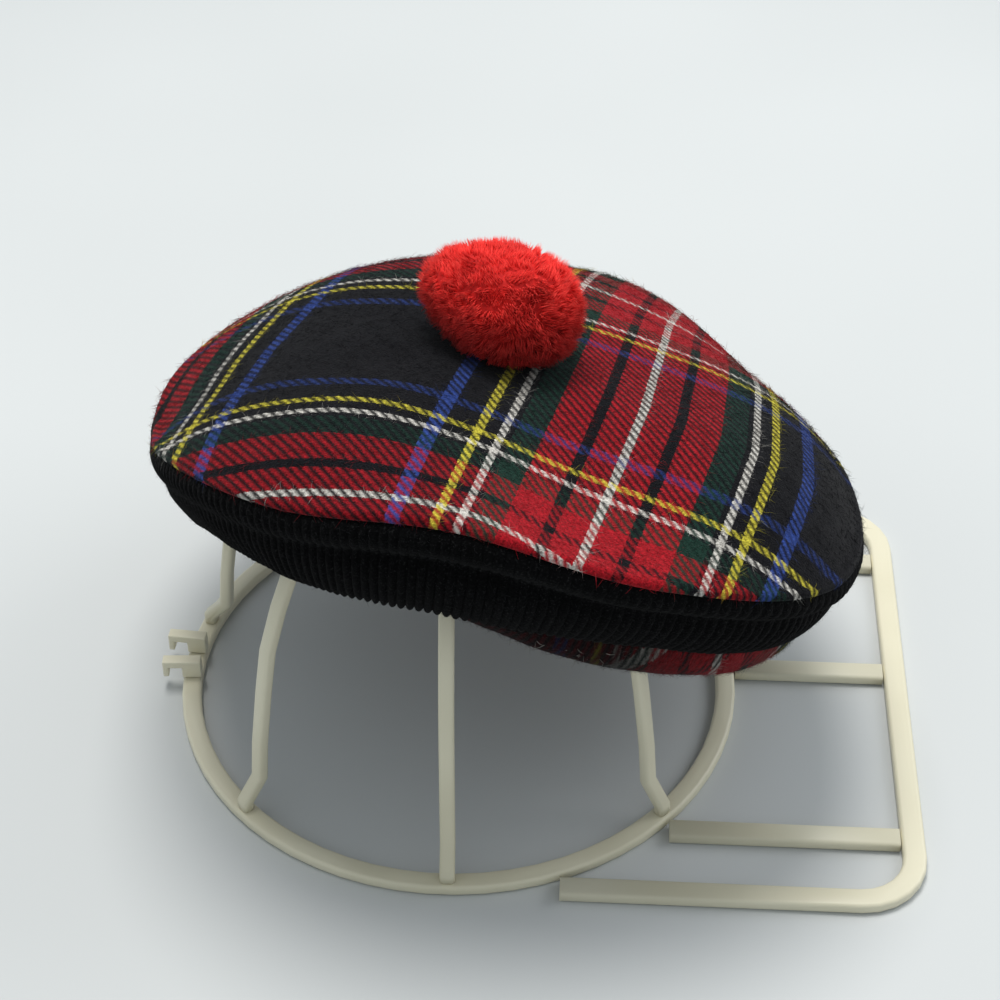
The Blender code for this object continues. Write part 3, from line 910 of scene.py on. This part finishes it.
def makeStandPiece(node, name):
    bm = bmesh.new()
    bm.from_mesh(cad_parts[node].data)
    bmesh.ops.remove_doubles(bm, verts=bm.verts, dist=1e-6)
    bmesh.ops.dissolve_limit(bm, angle_limit=stand["flat"], verts=bm.verts, edges=bm.edges)
    sharp = {e for e in bm.edges if len(e.link_faces) == 2 and e.calc_face_angle(0) > stand["sharp"]}
    edge = stand["hookEdge"]
    if not node.startswith("latch_"):
        edge = stand["edge"]
        ends = [f for f in bm.faces if f.calc_area() < stand["endArea"] and sharp.issuperset(f.edges)]
        sharp.difference_update(e for f in ends for e in f.edges)
    # in the mesh's own order, so that the bevel comes out the same each time
    sharp = [e for e in bm.edges if e in sharp]
    bmesh.ops.bevel(
        bm, geom=sharp, offset=edge, segments=stand["segments"], profile=0.5, affect="EDGES", material=-1
    )
    obj = newPiece(name, bm, plastic)
    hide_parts(node)
    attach(obj, "root")
    return obj


for node in sorted(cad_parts):
    if node.startswith(("stand_", "peak_", "latch_")):
        makeStandPiece(node, "smooth_" + node)
print("stand ready")

# floor, light and camera
view = {
    "elevation": math.radians(40.5),
    "distance": 0.7752,
    "aim": Vector((0.01405, 0.03934, 0.04845)),
    "lens": 81.43,
}
room = {
    "floorSize": 6,  # half the floor's width, in metres
    "floorDrop": 0.2 * mm,  # keeps the floor clear of the stand's flat underside
    "floorColours": [(0.3, (0.55, 0.57, 0.57)), (0.7, (0.59, 0.61, 0.61))],
    "sky": (0.80, 0.86, 0.90),
    "skyStrength": 0.62,
    "lamps": {
        "key": {"place": (-0.1, 0.32, 1.5), "size": 0.7, "power": 19, "colour": (1.0, 0.98, 0.95)},
        "fill": {"place": (1.3, 0.5, 1.1), "size": 1.2, "power": 8, "colour": (0.98, 0.99, 1.0)},
    },
    "lampAim": Vector((0, 0, 0.08)),
}


def makeFloor():
    bm = bmesh.new()
    bmesh.ops.create_grid(bm, x_segments=1, y_segments=1, size=room["floorSize"])
    m, tree, shader = startMaterial("paleFloor")
    place = nodeOf(tree, "ShaderNodeTexCoord")
    cloudy = noiseNode(tree, place.outputs["Object"], scale=3, detail=2, roughness=0.5)
    colour = rampNode(tree, cloudy.outputs["Fac"], room["floorColours"])
    tree.links.new(colour, shader.inputs["Base Color"])
    shader.inputs["Roughness"].default_value = 0.55
    shader.inputs["Specular IOR Level"].default_value = 0.3
    floor = newPiece("floor", bm, m, smooth=False)
    floor.location.z = -room["floorDrop"]


def makeLights():
    world = bpy.data.worlds.new("room")
    world.use_nodes = True
    background = world.node_tree.nodes["Background"]
    background.inputs[0].default_value = (*room["sky"], 1)
    background.inputs[1].default_value = room["skyStrength"]
    bpy.context.scene.world = world
    for name, lamp in room["lamps"].items():
        data = bpy.data.lights.new(name, "AREA")
        data.shape = "DISK"
        data.size = lamp["size"]
        data.energy = lamp["power"]
        data.color = lamp["colour"]
        obj = bpy.data.objects.new(name, data)
        bpy.context.scene.collection.objects.link(obj)
        obj.location = lamp["place"]
        obj.rotation_euler = (room["lampAim"] - obj.location).to_track_quat("-Z", "Y").to_euler()


def makeCamera():
    data = bpy.data.cameras.new("photoView")
    data.lens = view["lens"]
    data.sensor_width = 36
    data.clip_end = 20
    camera = bpy.data.objects.new("photoView", data)
    bpy.context.scene.collection.objects.link(camera)
    back = Vector((0, -math.cos(view["elevation"]), math.sin(view["elevation"])))
    camera.location = ringMiddle + view["aim"] + back * view["distance"]
    camera.rotation_euler = (math.pi / 2 - view["elevation"], 0, 0)
    bpy.context.scene.camera = camera
    bpy.context.scene.view_settings.view_transform = "Standard"


makeFloor()
makeLights()
makeCamera()
print("set ready")
